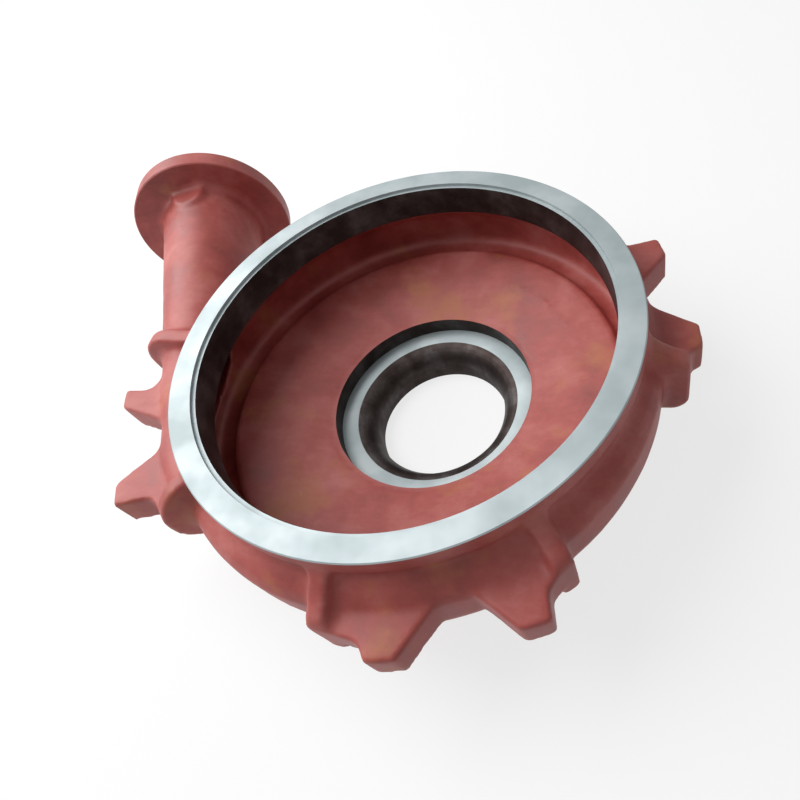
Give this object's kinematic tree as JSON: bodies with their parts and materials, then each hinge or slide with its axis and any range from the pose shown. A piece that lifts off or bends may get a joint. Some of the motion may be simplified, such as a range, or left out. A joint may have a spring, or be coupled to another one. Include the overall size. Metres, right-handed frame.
{
  "type": "pump casing",
  "caption": "Cast volute casing for a centrifugal pump, with an open cover ring, a suction eye, a tangential flanged discharge, and lugs and ribs round the shell.",
  "frame": {"origin": "on the pump axis, in the plane of the suction flange's face, which the casing stands on", "axes": "+Z along the pump axis, from the suction side to the open cover side; the discharge leaves level, to the upper left seen from the cover side, 108.5 degrees from +X"},
  "size_m": [0.7802, 0.6359, 0.2235],
  "materials": {
    "casting": "satin"
  },
  "bodies": {
    "root": {"volute_casing": "casting"}
  },
  "joints": []
}
